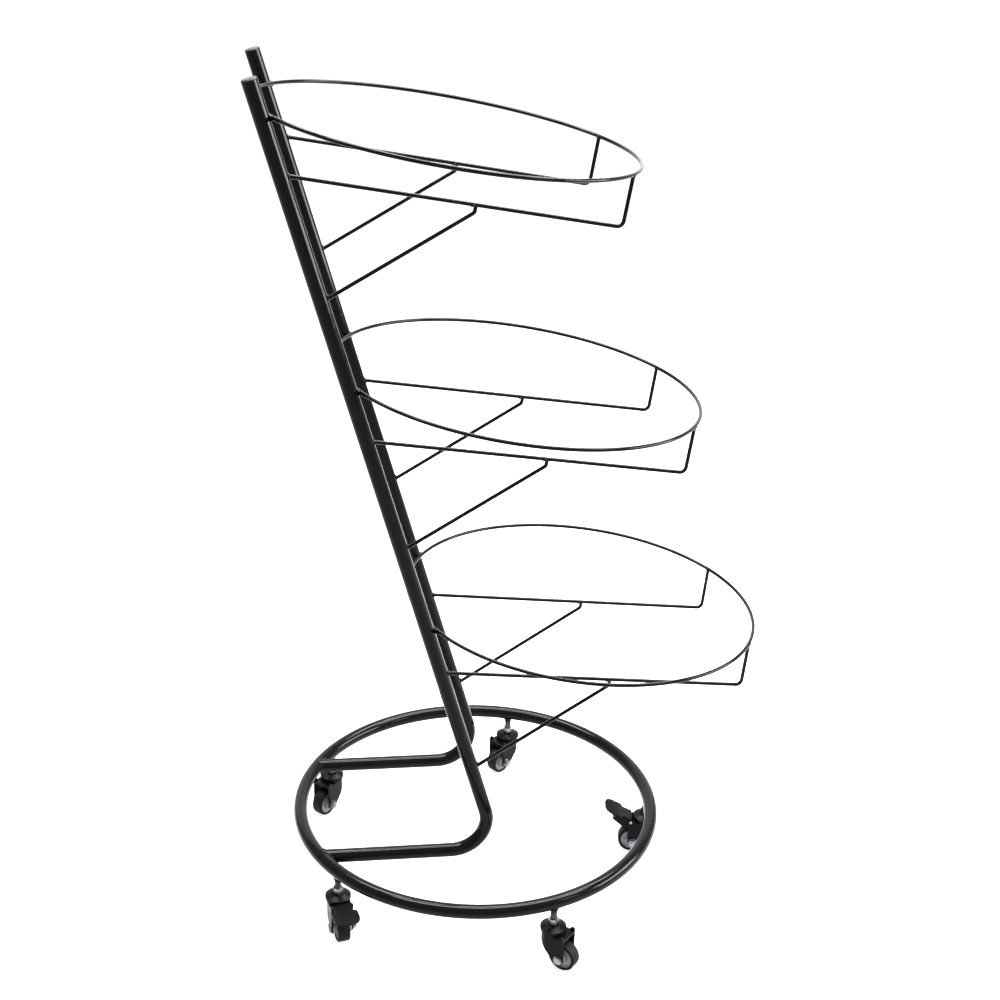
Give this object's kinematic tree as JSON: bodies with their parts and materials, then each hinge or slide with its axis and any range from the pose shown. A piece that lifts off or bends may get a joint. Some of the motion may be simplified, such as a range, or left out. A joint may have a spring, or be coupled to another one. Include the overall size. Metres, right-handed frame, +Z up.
{
  "type": "tiered display stand",
  "caption": "Leaning twin-tube display stand with tiered wire hoops for round baskets, on a ring base with five casters.",
  "frame": {"origin": "on the floor, under the centre of the base ring", "axes": "+X is the front, where the hoops reach out; +Y is the stand's left; +Z is up"},
  "size_m": [0.668, 0.527, 1.1332],
  "materials": {
    "frame_coat": "gloss black powder coat",
    "plug_plastic": "moulded black",
    "caster_coat": "black electrocoat",
    "zinc_plate": "bright zinc plate",
    "core_plastic": "moulded light grey",
    "tyre_rubber": "smooth black"
  },
  "bodies": {
    "frame": {"base_ring": "frame_coat", "left_upright": "frame_coat", "right_upright": "frame_coat", "top_hoop": "frame_coat", "top_left_arm": "frame_coat", "top_left_brace": "frame_coat", "top_right_arm": "frame_coat", "top_right_brace": "frame_coat", "middle_hoop": "frame_coat", "middle_left_arm": "frame_coat", "middle_left_brace": "frame_coat", "middle_right_arm": "frame_coat", "middle_right_brace": "frame_coat", "bottom_hoop": "frame_coat", "bottom_left_arm": "frame_coat", "bottom_left_brace": "frame_coat", "bottom_right_arm": "frame_coat", "bottom_right_brace": "frame_coat", "stem_bosses": "frame_coat", "upright_plugs": "plug_plastic", "caster_stems": "zinc_plate", "caster_cups": "caster_coat"},
    "caster_1_swivel": {"caster_1_fork": "caster_coat", "caster_1_axle": "zinc_plate", "caster_1_brake_pin": "zinc_plate"},
    "caster_1_wheel": {"caster_1_core": "core_plastic", "caster_1_tyre": "tyre_rubber"},
    "caster_1_brake": {"caster_1_pedal": "caster_coat"},
    "caster_2_swivel": {"caster_2_fork": "caster_coat", "caster_2_axle": "zinc_plate"},
    "caster_2_wheel": {"caster_2_core": "core_plastic", "caster_2_tyre": "tyre_rubber"},
    "caster_3_swivel": {"caster_3_fork": "caster_coat", "caster_3_axle": "zinc_plate"},
    "caster_3_wheel": {"caster_3_core": "core_plastic", "caster_3_tyre": "tyre_rubber"},
    "caster_4_swivel": {"caster_4_fork": "caster_coat", "caster_4_axle": "zinc_plate", "caster_4_brake_pin": "zinc_plate"},
    "caster_4_wheel": {"caster_4_core": "core_plastic", "caster_4_tyre": "tyre_rubber"},
    "caster_4_brake": {"caster_4_pedal": "caster_coat"},
    "caster_5_swivel": {"caster_5_fork": "caster_coat", "caster_5_axle": "zinc_plate"},
    "caster_5_wheel": {"caster_5_core": "core_plastic", "caster_5_tyre": "tyre_rubber"}
  },
  "joints": [
    {"name": "caster_1_turn", "type": "hinge", "parent": "frame", "child": "caster_1_swivel", "pos_m": [0.25, 0, 0.0525], "axis": [0, 0, 1], "continuous": true},
    {"name": "caster_1_roll", "type": "hinge", "parent": "caster_1_swivel", "child": "caster_1_wheel", "pos_m": [0.23217, 0.0025, 0.02], "axis": [-0.1392, -0.9903, 0], "continuous": true},
    {"name": "caster_1_pedal_lift", "type": "hinge", "parent": "caster_1_swivel", "child": "caster_1_brake", "pos_m": [0.22841, 0.00303, 0.054], "axis": [0.1392, 0.9903, 0], "range_deg": [-26, 0]},
    {"name": "caster_2_turn", "type": "hinge", "parent": "frame", "child": "caster_2_swivel", "pos_m": [0.07725, 0.23776, 0.0525], "axis": [0, 0, 1], "continuous": true},
    {"name": "caster_2_roll", "type": "hinge", "parent": "caster_2_swivel", "child": "caster_2_wheel", "pos_m": [0.06346, 0.22619, 0.02], "axis": [0.6428, -0.766, 0], "continuous": true},
    {"name": "caster_3_turn", "type": "hinge", "parent": "frame", "child": "caster_3_swivel", "pos_m": [-0.20225, 0.14695, 0.0525], "axis": [0, 0, 1], "continuous": true},
    {"name": "caster_3_roll", "type": "hinge", "parent": "caster_3_swivel", "child": "caster_3_wheel", "pos_m": [-0.21382, 0.13316, 0.02], "axis": [0.766, -0.6428, 0], "continuous": true},
    {"name": "caster_4_turn", "type": "hinge", "parent": "frame", "child": "caster_4_swivel", "pos_m": [-0.20225, -0.14695, 0.0525], "axis": [0, 0, 1], "continuous": true},
    {"name": "caster_4_roll", "type": "hinge", "parent": "caster_4_swivel", "child": "caster_4_wheel", "pos_m": [-0.19882, -0.16462, 0.02], "axis": [0.9816, 0.1908, 0], "continuous": true},
    {"name": "caster_4_pedal_lift", "type": "hinge", "parent": "caster_4_swivel", "child": "caster_4_brake", "pos_m": [-0.19809, -0.16835, 0.054], "axis": [-0.9816, -0.1908, 0], "range_deg": [0, 26]},
    {"name": "caster_5_turn", "type": "hinge", "parent": "frame", "child": "caster_5_swivel", "pos_m": [0.07725, -0.23776, 0.0525], "axis": [0, 0, 1], "continuous": true},
    {"name": "caster_5_roll", "type": "hinge", "parent": "caster_5_swivel", "child": "caster_5_wheel", "pos_m": [0.09084, -0.24957, 0.02], "axis": [0.6561, 0.7547, 0], "continuous": true}
  ]
}
